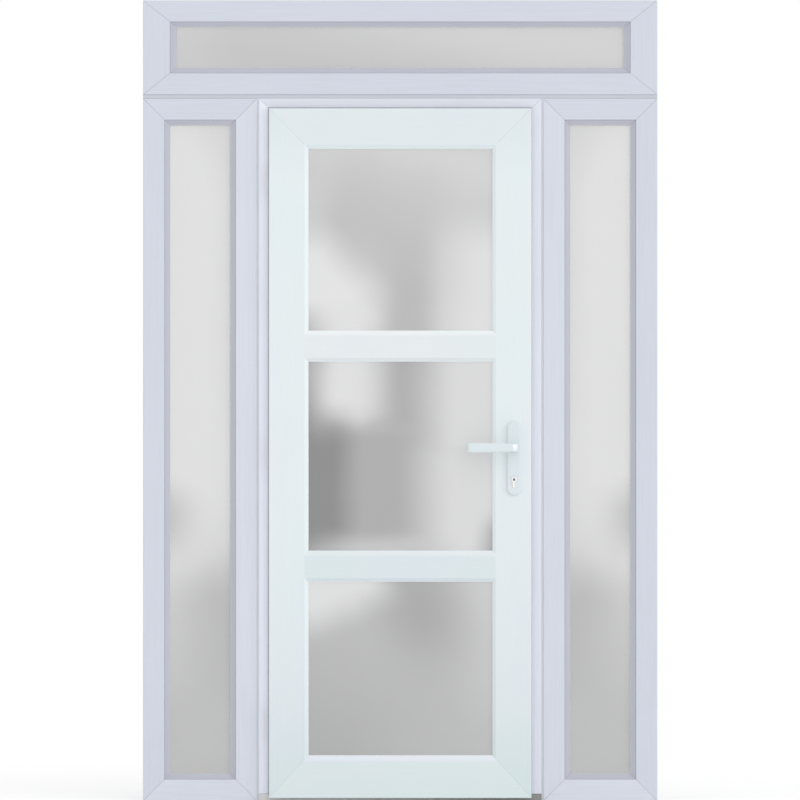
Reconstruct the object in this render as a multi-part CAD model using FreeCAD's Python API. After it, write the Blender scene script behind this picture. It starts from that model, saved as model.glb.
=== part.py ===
"""Entrance door set: one glazed leaf between two sidelights, under a transom light.

Millimetres, +Z up, +X to the viewer's right, the front faces -Y. The origin is the middle of the
threshold's underside. Every bar is a length of extruded profile, cut to a mitre at its ends.
"""
import FreeCAD, Part
import math
import os

Vector = FreeCAD.Vector
FRONT_TO_BACK = Vector(0, 1, 0)
UP = Vector(0, 0, 1)
DOWN = Vector(0, 0, -1)
RIGHT = Vector(1, 0, 0)
LEFT = Vector(-1, 0, 0)

# The three units and the strips that couple them
unit_height = 2032.0
transom_height = 273.0
transom_coupler_height = 11.0
sidelight_width = 330.5
side_coupler_width = 5.0
door_frame_width = 817.0
frame_depth = 70.0
coupler_recess = 3.0
coupler_ease = 0.8

# Profile of the fixed lights' frames
frame_face = 62.0
transom_end_width = 78.0
frame_edge_radius = 2.0
back_edge_ease = 1.2
back_lip_depth = 31.0
bead_width = 15.5
bead_setback = 4.0
bead_step = 6.0
bead_slope = 3.0
fixed_glass_thickness = 24.0
glass_edge_gap = 4.0
bead_joint = 0.3
weld_groove_width = 3.0
weld_groove_depth = 0.7

# Profile of the door frame, and the threshold under it
jamb_visible = 29.0
leaf_overlap = 8.0
rebate_gap = 8.0
stop_lap = 6.0
seal_gap = 5.0
threshold_height = 21.0
threshold_nose_radius = 4.0
threshold_rib_height = 2.0
threshold_rib_width = 4.0
threshold_rib_pitch = 9.0
threshold_rib_count = 5

# The leaf
leaf_depth = 70.0
leaf_proud = 25.0
leaf_floor_gap = 9.0
overlap_thickness = 16.0
stile_width = 112.5
top_rail_width = 115.0
bottom_rail_width = 122.5
mid_rail_width = 88.0
bottom_pane_height = 504.0
middle_pane_height = 548.5
leaf_edge_radius = 2.5
bevel_width = 9.0
bevel_depth = 6.0
glass_cover = 14.5
leaf_lip_depth = 9.0
leaf_glass_thickness = 28.0
leaf_bead_slope = 4.0

# The hinges, hidden behind the leaf's overlap
hinge_count = 3
hinge_end_distance = 210.0
hinge_height = 90.0
frame_knuckle_height = 34.0
barrel_radius = 4.5
pin_radius = 2.5
running_gap = 0.05
knuckle_gap = 0.3
hinge_plate_thickness = 2.5
hinge_plate_depth = 34.0
hinge_pocket_gap = 1.0
hinge_cover = 2.7

# The lever handles, the lock and its strike plate
lever_height = 1022.0
backset = 34.5
lock_centres = 92.0
handle_plate_width = 40.0
handle_plate_above = 76.0
handle_plate_below = 138.0
handle_plate_thickness = 9.0
handle_plate_chamfer = 3.5
neck_radius = 11.75
neck_chamfer = 3.5
neck_clearance = 0.3
lever_reach = 136.0
lever_standoff = 38.0
lever_thickness = 13.0
lever_tip_height = 28.0
lever_return = 12.0
lever_bend_radius = 10.0
lever_inner_radius = 5.0
lever_edge_ease = 2.5
spindle_size = 8.0
spindle_depth = 22.0
spindle_clearance = 0.2
spindle_bore_radius = 8.0
cylinder_radius = 8.5
cylinder_leg_width = 10.0
cylinder_height = 33.0
cylinder_proud = 2.0
cylinder_clearance = 0.3
keyway_width = 2.5
keyway_height = 8.5
keyway_depth = 9.0
lock_setback = 48.0
faceplate_width = 20.0
faceplate_above = 193.0
faceplate_below = 97.0
faceplate_thickness = 3.0
strike_above = 150.0
strike_below = 70.0
bolt_thickness = 10.0
bolt_length = 25.0
latch_height = 24.0
dead_bolt_height = 30.0
dead_bolt_drop = 40.0
bolt_clearance = 0.3
strike_clearance = 2.0

# Places worked out from the sizes above
frame_front = -frame_depth / 2
frame_back = frame_depth / 2
overall_width = 2 * sidelight_width + 2 * side_coupler_width + door_frame_width
transom_bottom = unit_height + transom_coupler_height
overall_height = transom_bottom + transom_height
outer_x = overall_width / 2
door_x = door_frame_width / 2
sidelight_x = door_x + side_coupler_width
frame_width = frame_face + bead_width
transom_end_scale = transom_end_width / frame_face

jamb_face = jamb_visible + leaf_overlap
jamb_width = jamb_face + rebate_gap + stop_lap
leaf_front = frame_front - leaf_proud
leaf_back = leaf_front + leaf_depth
overlap_back = leaf_front + overlap_thickness
stop_front = leaf_back + seal_gap
leaf_x = door_x - jamb_visible
leaf_bottom = leaf_floor_gap
leaf_top = unit_height - jamb_visible
overlap_reach = leaf_overlap + rebate_gap
leaf_glass_front = leaf_front + leaf_lip_depth
leaf_glass_back = leaf_glass_front + leaf_glass_thickness
pane_x = leaf_x - stile_width
body_x = leaf_x - overlap_reach
rebate_x = door_x - jamb_face

bottom_pane_low = leaf_bottom + bottom_rail_width
lower_rail_low = bottom_pane_low + bottom_pane_height
middle_pane_low = lower_rail_low + mid_rail_width
upper_rail_low = middle_pane_low + middle_pane_height
top_pane_low = upper_rail_low + mid_rail_width
top_pane_high = leaf_top - top_rail_width

hinge_x = -(leaf_x - overlap_thickness / 2)
hinge_y = leaf_front + overlap_thickness / 2
lock_x = body_x - backset
lock_y = leaf_front + lock_setback
cylinder_z = lever_height - lock_centres


def outline(points, place):
    """Closed face through (u, v) or (u, v, corner radius) points, put into space by place(u, v)."""
    corners = []
    for i, point in enumerate(points):
        here = Vector(point[0], point[1], 0)
        before = Vector(points[i - 1][0], points[i - 1][1], 0)
        after = Vector(points[(i + 1) % len(points)][0], points[(i + 1) % len(points)][1], 0)
        radius = point[2] if len(point) > 2 else 0.0
        if radius == 0.0:
            corners.append((here, here, here))
            continue
        to_before = (before - here).normalize()
        to_after = (after - here).normalize()
        half = to_before.getAngle(to_after) / 2
        reach = radius / math.tan(half)
        middle = (to_before + to_after).normalize()
        on_arc = here + middle * (radius / math.sin(half) - radius)
        corners.append((here + to_before * reach, on_arc, here + to_after * reach))

    def spot(vector):
        return place(vector.x, vector.y)

    edges = []
    for i, (enter, on_arc, leave) in enumerate(corners):
        if enter.distanceToPoint(leave) > 1e-6:
            edges.append(Part.Arc(spot(enter), spot(on_arc), spot(leave)).toShape())
        following = corners[(i + 1) % len(corners)][0]
        if leave.distanceToPoint(following) > 1e-6:
            edges.append(Part.LineSegment(spot(leave), spot(following)).toShape())
    return Part.Face(Part.Wire(edges))


def scaled(points, factor):
    """The same section, stretched across its face."""
    return [(point[0] * factor, *point[1:]) for point in points]


def bar(section, start, end, inward, width, runs=(0.0, 0.0), grooves=(), shift=0.0):
    """A length of profile from start to end along its outer edge.

    runs are how far each end's mitre travels along the bar across its width, grooves the two levels
    of the front and back faces along which the weld is dressed, shift the play left in each mitre.
    """
    along = (end - start).normalize()
    length = (end - start).Length
    margin = frame_depth + leaf_depth

    def in_section(u, v):
        return start + inward * u + FRONT_TO_BACK * v

    def in_plan(t, u):
        return start + along * t + inward * u - FRONT_TO_BACK * margin

    solid = outline(section, in_section).extrude(along * length)
    ends = ((0.0, runs[0], 1.0), (length, -runs[1], -1.0))
    for place, run, sense in ends:
        if run == 0.0:
            continue
        lean = run / width
        low = place - lean * margin + sense * shift
        high = place + lean * (width + margin) + sense * shift
        away = place - sense * 2 * margin
        wedge = [(low, -margin), (high, width + margin), (away, width + margin), (away, -margin)]
        solid = solid.cut(outline(wedge, in_plan).extrude(FRONT_TO_BACK * 2 * margin))
        if grooves:
            corner = start + along * place
            solid = solid.cut(weld_groove(corner, along * run + inward * width, along * sense, grooves))
    return solid


def weld_groove(corner, mitre, into_bar, faces):
    """The shallow groove dressed into the front and back faces along a mitre, one bar's half of it."""
    direction = Vector(mitre).normalize()
    across = FRONT_TO_BACK.cross(direction)
    if across.dot(into_bar) < 0:
        across = across * -1
    half_width = weld_groove_width / 2
    length = mitre.Length + 2 * weld_groove_width
    cuts = []
    for face, inwards in ((faces[0], 1.0), (faces[1], -1.0)):
        base = corner - direction * weld_groove_width + FRONT_TO_BACK * face
        deep = base + FRONT_TO_BACK * (weld_groove_depth * inwards)
        wide = base + across * half_width
        proud = FRONT_TO_BACK * (-weld_groove_depth * inwards)
        ring = [deep - across * half_width, deep, wide, wide + proud, base + proud - across * half_width]
        cuts.append(Part.Face(Part.makePolygon(ring + ring[:1])).extrude(direction * length))
    return cuts[0].fuse(cuts[1])


def box(low, high):
    """Box between two opposite corners."""
    size = high - low
    return Part.makeBox(size.x, size.y, size.z, low)


def rod(radius, start, direction, length):
    """Round rod."""
    return Part.makeCylinder(radius, length, start, direction)


def save(name, *solids):
    """Write one node."""
    shape = solids[0] if len(solids) == 1 else Part.makeCompound(list(solids))
    shape.exportStep(f"parts/{name}.step")


def frame_section():
    """Fixed light's frame: a deep face, and a lip at the back that the glass stands against."""
    lip_front = frame_back - back_lip_depth
    return [
        (0, frame_front, frame_edge_radius),
        (frame_face, frame_front, frame_edge_radius),
        (frame_face, lip_front),
        (frame_width, lip_front),
        (frame_width, frame_back - back_edge_ease),
        (frame_width - back_edge_ease, frame_back),
        (back_edge_ease, frame_back),
        (0, frame_back - back_edge_ease),
    ]


def bead_section():
    """Fixed light's glazing bead: two sloped fillets with a quirk between them, over a square foot."""
    glass_front = frame_back - back_lip_depth - fixed_glass_thickness
    crown = frame_front + bead_setback
    quirk = crown + bead_slope / 2
    return [
        (0, crown, frame_edge_radius / 2),
        (bead_step, quirk),
        (bead_step, quirk + bead_slope / 2),
        (bead_width, quirk + 2 * bead_slope, frame_edge_radius),
        (bead_width, glass_front),
        (0, glass_front),
    ]


def ring_of_bars(section, low, high, width, side_scale, grooves=(), shift=0.0):
    """Four mitred bars round a rectangle in the order head, sill, left, right."""
    side_width = width * side_scale
    top_left = Vector(low.x, 0, high.z)
    bottom_right = Vector(high.x, 0, low.z)
    level = (side_width, side_width)
    upright = (width, width)
    side_section = scaled(section, side_scale)
    return (
        bar(section, top_left, high, DOWN, width, level, grooves, shift),
        bar(section, low, bottom_right, UP, width, level, grooves, shift),
        bar(side_section, low, top_left, RIGHT, side_width, upright, grooves, shift),
        bar(side_section, bottom_right, high, LEFT, side_width, upright, grooves, shift),
    )


def fixed_light(low, high, side_scale=1.0):
    """Frame bars, beads and glass of a fixed light between two corners of its outline."""
    faces = (frame_front, frame_back)
    bars = ring_of_bars(frame_section(), low, high, frame_width, side_scale, faces)
    bead_inset = Vector(frame_face * side_scale, 0, frame_face)
    beads = ring_of_bars(
        bead_section(), low + bead_inset, high - bead_inset, bead_width, side_scale, (), bead_joint / 2
    )
    glass_inset = bead_inset + Vector(glass_edge_gap, 0, glass_edge_gap)
    glass_back = frame_back - back_lip_depth
    glass = box(
        low + glass_inset + FRONT_TO_BACK * (glass_back - fixed_glass_thickness),
        high - glass_inset + FRONT_TO_BACK * glass_back,
    )
    return bars, beads, glass


def save_fixed_light(prefix, bar_names, low, high, side_scale=1.0):
    """Write a fixed light's nodes."""
    bars, beads, glass = fixed_light(low, high, side_scale)
    for name, solid in zip(bar_names, bars):
        save(f"{prefix}_{name}", solid)
    save(f"{prefix}_beads", *beads)
    save(f"{prefix}_glass", glass)


def jamb_section():
    """Door frame: a face towards the viewer, a rebate for the leaf and a stop behind it."""
    return [
        (0, frame_front, frame_edge_radius),
        (jamb_face, frame_front, frame_edge_radius),
        (jamb_face, stop_front),
        (jamb_width, stop_front, frame_edge_radius),
        (jamb_width, frame_back - back_edge_ease),
        (jamb_width - back_edge_ease, frame_back),
        (back_edge_ease, frame_back),
        (0, frame_back - back_edge_ease),
    ]


def threshold_section():
    """Low threshold: a rounded nose and a tread with drainage ribs, in depth and height."""
    points = [(frame_front, 0), (frame_front, threshold_height, threshold_nose_radius)]
    first = -(threshold_rib_count - 1) * threshold_rib_pitch / 2
    for i in range(threshold_rib_count):
        rib = first + i * threshold_rib_pitch
        points.append((rib - threshold_rib_width / 2, threshold_height))
        points.append((rib - threshold_rib_width / 2, threshold_height - threshold_rib_height))
        points.append((rib + threshold_rib_width / 2, threshold_height - threshold_rib_height))
        points.append((rib + threshold_rib_width / 2, threshold_height))
    points.append((frame_back, threshold_height, frame_edge_radius))
    points.append((frame_back, 0))
    return points


def leaf_section():
    """Stile or rail: an overlap over the frame, a body, and a bevelled lip in front of the glass."""
    rebate = stile_width - glass_cover
    return [
        (0, leaf_front, leaf_edge_radius),
        (stile_width - bevel_width, leaf_front),
        (stile_width, leaf_front + bevel_depth),
        (stile_width, leaf_glass_front),
        (rebate, leaf_glass_front),
        (rebate, leaf_back - back_edge_ease),
        (rebate - back_edge_ease, leaf_back),
        (overlap_reach + back_edge_ease, leaf_back),
        (overlap_reach, leaf_back - back_edge_ease),
        (overlap_reach, overlap_back),
        (back_edge_ease, overlap_back),
        (0, overlap_back - back_edge_ease),
    ]


def mid_rail_section():
    """Mid rail: a bevelled lip up and down in front of the glass, and a web behind them."""
    return [
        (0, leaf_front + bevel_depth),
        (bevel_width, leaf_front),
        (mid_rail_width - bevel_width, leaf_front),
        (mid_rail_width, leaf_front + bevel_depth),
        (mid_rail_width, leaf_glass_front),
        (mid_rail_width - glass_cover, leaf_glass_front),
        (mid_rail_width - glass_cover, leaf_back - back_edge_ease),
        (mid_rail_width - glass_cover - back_edge_ease, leaf_back),
        (glass_cover + back_edge_ease, leaf_back),
        (glass_cover, leaf_back - back_edge_ease),
        (glass_cover, leaf_glass_front),
        (0, leaf_glass_front),
    ]


def leaf_bead_section():
    """Bead that holds a pane of the leaf from behind."""
    return [
        (0, leaf_glass_back),
        (glass_cover, leaf_glass_back),
        (glass_cover, leaf_back - leaf_bead_slope - back_edge_ease),
        (glass_cover - back_edge_ease, leaf_back - leaf_bead_slope),
        (back_edge_ease, leaf_back),
        (0, leaf_back - back_edge_ease),
    ]


def round_ended(low, high, width):
    """Upright slab with half-round ends, centred on the lock, between two depths and heights."""
    half = width / 2
    across = RIGHT * half
    shape = box(low - across + UP * half, high + across - UP * half)
    for centre in (low + UP * half, Vector(low.x, low.y, high.z - half)):
        shape = shape.fuse(rod(half, centre, FRONT_TO_BACK, high.y - low.y))
    return shape.removeSplitter()


def cylinder_shape(front, back, clearance=0.0):
    """Profile cylinder: a round barrel with a leg under it, between two depths."""
    middle = Vector(lock_x, front, cylinder_z)
    foot = cylinder_z + cylinder_radius - cylinder_height - clearance
    barrel = rod(cylinder_radius + clearance, middle, FRONT_TO_BACK, back - front)
    leg_width = cylinder_leg_width + 2 * clearance
    leg = round_ended(Vector(lock_x, front, foot), Vector(lock_x, back, cylinder_z), leg_width)
    return barrel.fuse(leg).removeSplitter()


def handle_plate(seat, sense):
    """Handle plate on a face of the leaf; sense is -1 at the front and +1 at the back."""
    outer = seat + handle_plate_thickness * sense
    near, far = sorted((seat, outer))
    plate = round_ended(
        Vector(lock_x, near, lever_height - handle_plate_below),
        Vector(lock_x, far, lever_height + handle_plate_above),
        handle_plate_width,
    )
    rim = [edge for edge in plate.Edges if all(abs(v.Point.y - outer) < 1e-6 for v in edge.Vertexes)]
    plate = plate.makeChamfer(handle_plate_chamfer, rim)
    neck_hole = rod(
        neck_radius + neck_clearance,
        Vector(lock_x, near, lever_height),
        FRONT_TO_BACK,
        handle_plate_thickness,
    )
    return plate.cut(neck_hole).cut(cylinder_shape(near, far, cylinder_clearance))


def lever(seat, sense):
    """Lever: a round neck, a bar that widens to its tip, and the tip turned back towards the leaf."""
    back = seat + (handle_plate_thickness + lever_standoff) * sense
    front = back + lever_thickness * sense
    tip_x = lock_x - lever_reach
    returned = back - lever_return * sense
    plan = [
        (lock_x, back),
        (lock_x, front),
        (tip_x, front, lever_bend_radius),
        (tip_x, returned),
        (tip_x + lever_thickness, returned),
        (tip_x + lever_thickness, back, lever_inner_radius),
    ]
    below = lever_height - lever_tip_height
    grip = outline(plan, lambda x, y: Vector(x, y, below)).extrude(UP * 2 * lever_tip_height)
    eased = [
        (front, neck_radius - lever_edge_ease),
        (front - lever_edge_ease * sense, neck_radius),
        (seat, neck_radius),
        (seat, -lever_tip_height),
        (front, -lever_tip_height),
    ]
    axis = Vector(lock_x, 0, lever_height)
    for side in (UP, DOWN):
        face = outline(eased, lambda y, rise: axis + FRONT_TO_BACK * y + side * rise)
        widening = LEFT * lever_reach + side * (lever_tip_height / 2 - neck_radius)
        grip = grip.common(face.extrude(widening))
    neck_start = Vector(lock_x, seat + neck_clearance * sense, lever_height)
    neck = rod(neck_radius, neck_start, FRONT_TO_BACK * sense, abs(front - neck_start.y))
    crown = [edge for edge in neck.Edges if all(abs(v.Point.y - front) < 1e-6 for v in edge.Vertexes)]
    neck = neck.makeChamfer(neck_chamfer, crown)
    socket_half = spindle_size / 2
    socket = box(
        Vector(lock_x - socket_half, min(seat, seat + spindle_depth * sense), lever_height - socket_half),
        Vector(lock_x + socket_half, max(seat, seat + spindle_depth * sense), lever_height + socket_half),
    )
    return grip.fuse(neck).removeSplitter().cut(socket)


def bolts(reach, clearance=0.0):
    """Latch and dead bolt, or their room, ending at a depth of reach in x beyond the leaf's edge."""
    half = bolt_thickness / 2 + clearance
    shapes = []
    for middle, height in ((lever_height, latch_height), (cylinder_z - dead_bolt_drop, dead_bolt_height)):
        tall = height / 2 + clearance
        shapes.append(
            box(
                Vector(body_x - bolt_length, lock_y - half, middle - tall),
                Vector(body_x + reach, lock_y + half, middle + tall),
            )
        )
    return shapes


def hinge_heights():
    """Middle of each hinge, evenly spaced up the leaf."""
    low = leaf_bottom + hinge_end_distance
    high = leaf_top - hinge_end_distance
    return [low + (high - low) * i / (hinge_count - 1) for i in range(hinge_count)]


def hinge_bracket(middle):
    """Frame half of a hinge: a plate on the jamb's rebate, an arm forward and the middle knuckle."""
    half = frame_knuckle_height / 2
    inner = -rebate_x + hinge_plate_thickness
    plate = box(
        Vector(-rebate_x, frame_front + frame_edge_radius, middle - hinge_height / 2),
        Vector(inner, frame_front + frame_edge_radius + hinge_plate_depth, middle + hinge_height / 2),
    )
    arm = box(
        Vector(-rebate_x, hinge_y, middle - half),
        Vector(inner, frame_front + frame_edge_radius, middle + half),
    )
    knuckle = rod(barrel_radius, Vector(hinge_x, hinge_y, middle - half), UP, frame_knuckle_height)
    bore = rod(pin_radius + running_gap, Vector(hinge_x, hinge_y, middle - half), UP, frame_knuckle_height)
    return plate.fuse(arm).fuse(knuckle).removeSplitter().cut(bore)


def hinge_leaf(middle):
    """Leaf half of a hinge: a plate on the stile's edge with the upper and lower knuckles."""
    low = middle - hinge_height / 2
    high = middle + hinge_height / 2
    knuckle_height = (hinge_height - frame_knuckle_height) / 2 - knuckle_gap
    face = -body_x - hinge_plate_thickness
    solid = box(
        Vector(face, leaf_front + hinge_cover + knuckle_gap, low),
        Vector(-body_x, leaf_front + hinge_cover + knuckle_gap + hinge_plate_depth, high),
    )
    for foot in (low, high - knuckle_height):
        web = box(
            Vector(hinge_x, hinge_y - pin_radius, foot),
            Vector(face, hinge_y + pin_radius, foot + knuckle_height),
        )
        knuckle = rod(barrel_radius, Vector(hinge_x, hinge_y, foot), UP, knuckle_height)
        solid = solid.fuse(web).fuse(knuckle)
    bore = rod(pin_radius + running_gap, Vector(hinge_x, hinge_y, low), UP, hinge_height)
    return solid.removeSplitter().cut(bore)


def hinge_pocket(middle):
    """Room for a hinge behind the front skin of the leaf's overlap."""
    half = hinge_height / 2 + hinge_pocket_gap
    return box(
        Vector(-leaf_x, leaf_front + hinge_cover, middle - half),
        Vector(-body_x, overlap_back, middle + half),
    )


def coupler(low, high):
    """Strip that couples two units, set back from both faces, with its long edges eased."""
    strip = box(
        low + FRONT_TO_BACK * (frame_front + coupler_recess),
        high + FRONT_TO_BACK * (frame_back - coupler_recess),
    )
    length = max(edge.Length for edge in strip.Edges)
    arrises = [edge for edge in strip.Edges if length - edge.Length < 1e-6]
    return strip.makeChamfer(coupler_ease, arrises)


os.makedirs("parts", exist_ok=True)

# Transom light
save_fixed_light(
    "transom",
    ("head", "sill", "left_jamb", "right_jamb"),
    Vector(-outer_x, 0, transom_bottom),
    Vector(outer_x, 0, overall_height),
    transom_end_scale,
)

# Sidelights
save_fixed_light(
    "left_sidelight",
    ("head", "sill", "outer_jamb", "inner_jamb"),
    Vector(-outer_x, 0, 0),
    Vector(-sidelight_x, 0, unit_height),
)
save_fixed_light(
    "right_sidelight",
    ("head", "sill", "inner_jamb", "outer_jamb"),
    Vector(sidelight_x, 0, 0),
    Vector(outer_x, 0, unit_height),
)

# Coupling strips
save("transom_coupler", coupler(Vector(-outer_x, 0, unit_height), Vector(outer_x, 0, transom_bottom)))
save(
    "sidelight_couplers",
    coupler(Vector(-sidelight_x, 0, 0), Vector(-door_x, 0, unit_height)),
    coupler(Vector(door_x, 0, 0), Vector(sidelight_x, 0, unit_height)),
)

# Door frame and threshold
jamb_faces = (frame_front, frame_back)
head_left = Vector(-door_x, 0, unit_height)
head_right = Vector(door_x, 0, unit_height)
foot_left = Vector(-door_x, 0, threshold_height)
foot_right = Vector(door_x, 0, threshold_height)
head_runs = (jamb_width, jamb_width)
jamb_runs = (0.0, jamb_width)
strike = box(
    Vector(rebate_x, lock_y - faceplate_width / 2, cylinder_z - strike_below),
    Vector(rebate_x + faceplate_thickness, lock_y + faceplate_width / 2, cylinder_z + strike_above),
)
strike_room = Part.makeCompound(bolts(rebate_gap + bolt_length, strike_clearance))
save("door_head", bar(jamb_section(), head_left, head_right, DOWN, jamb_width, head_runs, jamb_faces))
save("hinge_jamb", bar(jamb_section(), foot_left, head_left, RIGHT, jamb_width, jamb_runs, jamb_faces))
lock_jamb = bar(jamb_section(), foot_right, head_right, LEFT, jamb_width, jamb_runs, jamb_faces)
save("lock_jamb", lock_jamb.cut(strike).cut(strike_room))
save("strike_plate", strike.cut(strike_room))
threshold_face = outline(threshold_section(), lambda y, z: Vector(-door_x, y, z))
save("threshold", threshold_face.extrude(RIGHT * door_frame_width))

# Leaf stiles and rails
leaf_faces = (leaf_front, leaf_back)
top_scale = top_rail_width / stile_width
bottom_scale = bottom_rail_width / stile_width
low_left = Vector(-leaf_x, 0, leaf_bottom)
low_right = Vector(leaf_x, 0, leaf_bottom)
high_left = Vector(-leaf_x, 0, leaf_top)
high_right = Vector(leaf_x, 0, leaf_top)
stile_runs = (bottom_rail_width, top_rail_width)
rail_runs = (stile_width, stile_width)
top_section = scaled(leaf_section(), top_scale)
bottom_section = scaled(leaf_section(), bottom_scale)
hinge_stile = bar(leaf_section(), low_left, high_left, RIGHT, stile_width, stile_runs, leaf_faces)
lock_stile = bar(leaf_section(), low_right, high_right, LEFT, stile_width, stile_runs, leaf_faces)
save("top_rail", bar(top_section, high_left, high_right, DOWN, top_rail_width, rail_runs, leaf_faces))
save("bottom_rail", bar(bottom_section, low_left, low_right, UP, bottom_rail_width, rail_runs, leaf_faces))
for name, low in (("lower_mid_rail", lower_rail_low), ("upper_mid_rail", upper_rail_low)):
    start = Vector(-pane_x - glass_cover, 0, low)
    end = Vector(pane_x + glass_cover, 0, low)
    rail = bar(mid_rail_section(), start, end, UP, mid_rail_width)
    save(name, rail.cut(hinge_stile).cut(lock_stile))

# Hinges
middles = hinge_heights()
for middle in middles:
    hinge_stile = hinge_stile.cut(hinge_pocket(middle))
save("hinge_stile", hinge_stile)
save("hinge_brackets", *[hinge_bracket(middle) for middle in middles])
save("hinge_leaves", *[hinge_leaf(middle) for middle in middles])
pin_feet = [Vector(hinge_x, hinge_y, middle - hinge_height / 2) for middle in middles]
save("hinge_pins", *[rod(pin_radius, foot, UP, hinge_height) for foot in pin_feet])

# Panes, and the beads that hold them from behind
panes = (
    ("bottom_pane", bottom_pane_low, lower_rail_low, bottom_scale, 1.0),
    ("middle_pane", middle_pane_low, upper_rail_low, 1.0, 1.0),
    ("top_pane", top_pane_low, top_pane_high, 1.0, top_scale),
)
leaf_beads = []
for name, low, high, low_scale, high_scale in panes:
    low_cover = glass_cover * low_scale
    high_cover = glass_cover * high_scale
    edge = glass_cover - glass_edge_gap
    glass_low = Vector(-pane_x - edge, leaf_glass_front, low - low_cover + glass_edge_gap)
    glass_high = Vector(pane_x + edge, leaf_glass_back, high + high_cover - glass_edge_gap)
    save(name, box(glass_low, glass_high))
    left_low = Vector(-pane_x - glass_cover, 0, low - low_cover)
    right_low = Vector(pane_x + glass_cover, 0, low - low_cover)
    left_high = Vector(-pane_x - glass_cover, 0, high + high_cover)
    right_high = Vector(pane_x + glass_cover, 0, high + high_cover)
    section = leaf_bead_section()
    low_section = scaled(section, low_scale)
    high_section = scaled(section, high_scale)
    side_runs = (low_cover, high_cover)
    level_runs = (glass_cover, glass_cover)
    play = bead_joint / 2
    leaf_beads += [
        bar(low_section, left_low, right_low, UP, low_cover, level_runs, (), play),
        bar(high_section, left_high, right_high, DOWN, high_cover, level_runs, (), play),
        bar(section, left_low, left_high, RIGHT, glass_cover, side_runs, (), play),
        bar(section, right_low, right_high, LEFT, glass_cover, side_runs, (), play),
    ]
save("leaf_beads", *leaf_beads)

# Lock, handle plates and levers
faceplate = box(
    Vector(body_x - faceplate_thickness, lock_y - faceplate_width / 2, cylinder_z - faceplate_below),
    Vector(body_x, lock_y + faceplate_width / 2, cylinder_z + faceplate_above),
)
bolt_room = Part.makeCompound(bolts(0.0, bolt_clearance))
spindle_bore = rod(
    spindle_bore_radius, Vector(lock_x, leaf_front, lever_height), FRONT_TO_BACK, leaf_depth
)
cylinder_bore = cylinder_shape(leaf_front, leaf_back, cylinder_clearance)
lock_stile = lock_stile.cut(faceplate).cut(bolt_room).cut(spindle_bore).cut(cylinder_bore)
save("lock_stile", lock_stile)
save("lock_faceplate", faceplate.cut(bolt_room), *bolts(0.0))
save("front_handle_plate", handle_plate(leaf_front, -1))
save("back_handle_plate", handle_plate(leaf_back, 1))

cylinder_reach = handle_plate_thickness + cylinder_proud
cylinder_front = leaf_front - cylinder_reach
cylinder_back = leaf_back + cylinder_reach
lock_cylinder = cylinder_shape(cylinder_front, cylinder_back)
for mouth in (cylinder_front, cylinder_back - keyway_depth):
    keyway_low = Vector(lock_x - keyway_width / 2, mouth, cylinder_z - keyway_height / 2)
    keyway_size = Vector(keyway_width, keyway_depth, keyway_height)
    lock_cylinder = lock_cylinder.cut(box(keyway_low, keyway_low + keyway_size))
save("lock_cylinder", lock_cylinder)

save("front_lever", lever(leaf_front, -1))
save("back_lever", lever(leaf_back, 1))
spindle_half = spindle_size / 2 - spindle_clearance
save(
    "spindle",
    box(
        Vector(lock_x - spindle_half, leaf_front - spindle_depth, lever_height - spindle_half),
        Vector(lock_x + spindle_half, leaf_back + spindle_depth, lever_height + spindle_half),
    ),
)
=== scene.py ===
import math
import bpy
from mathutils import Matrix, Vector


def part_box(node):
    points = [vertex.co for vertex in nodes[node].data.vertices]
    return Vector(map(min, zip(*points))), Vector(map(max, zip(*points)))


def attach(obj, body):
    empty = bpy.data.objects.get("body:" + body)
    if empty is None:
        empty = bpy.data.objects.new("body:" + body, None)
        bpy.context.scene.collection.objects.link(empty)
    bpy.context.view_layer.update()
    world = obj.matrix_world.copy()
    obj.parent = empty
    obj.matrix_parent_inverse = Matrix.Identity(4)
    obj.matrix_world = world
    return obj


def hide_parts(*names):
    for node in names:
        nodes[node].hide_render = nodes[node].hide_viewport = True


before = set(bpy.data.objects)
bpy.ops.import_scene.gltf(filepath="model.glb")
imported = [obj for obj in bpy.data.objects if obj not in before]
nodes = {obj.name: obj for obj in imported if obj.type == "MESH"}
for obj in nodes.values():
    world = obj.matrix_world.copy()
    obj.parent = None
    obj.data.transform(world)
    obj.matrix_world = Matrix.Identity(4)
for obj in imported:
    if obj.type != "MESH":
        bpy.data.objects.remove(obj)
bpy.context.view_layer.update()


# Frames of the transom light and the two sidelights: extruded window profile in a pale lilac-white
# foil, with a fine grain pressed along each bar. The bars are cut to a mitre and welded.
def screen_colour(red, green, blue):
    """A colour as it looks on a screen, 0 to 255, as the linear colour that a shader takes."""
    channels = []
    for value in (red, green, blue):
        share = value / 255.0
        channels.append(share / 12.92 if share <= 0.04045 else ((share + 0.055) / 1.055) ** 2.4)
    return (*channels, 1.0)


def shade(colour, share):
    """The same colour, darker or lighter."""
    return (colour[0] * share, colour[1] * share, colour[2] * share, 1.0)


def new_finish(name):
    """An empty finish: its material, its node tree, its shader and the place on the piece."""
    finish = bpy.data.materials.new(name)
    finish.use_nodes = True
    tree = finish.node_tree
    place = tree.nodes.new("ShaderNodeTexCoord").outputs["Object"]
    return finish, tree, tree.nodes["Principled BSDF"], place


def wire(tree, node, sockets):
    """Joins patterns to a node's sockets, or sets plain values there."""
    for socket, value in sockets.items():
        if isinstance(value, bpy.types.NodeSocket):
            tree.links.new(value, node.inputs[socket])
        else:
            node.inputs[socket].default_value = value


def put(tree, kind, sockets, **settings):
    """A new node of the finish, with its settings made and its sockets joined or set."""
    node = tree.nodes.new(kind)
    for setting, value in settings.items():
        setattr(node, setting, value)
    wire(tree, node, sockets)
    return node


def reckon(tree, operation, *values):
    """A sum on patterns and plain numbers."""
    return put(tree, "ShaderNodeMath", dict(enumerate(values)), operation=operation).outputs[0]


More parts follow.
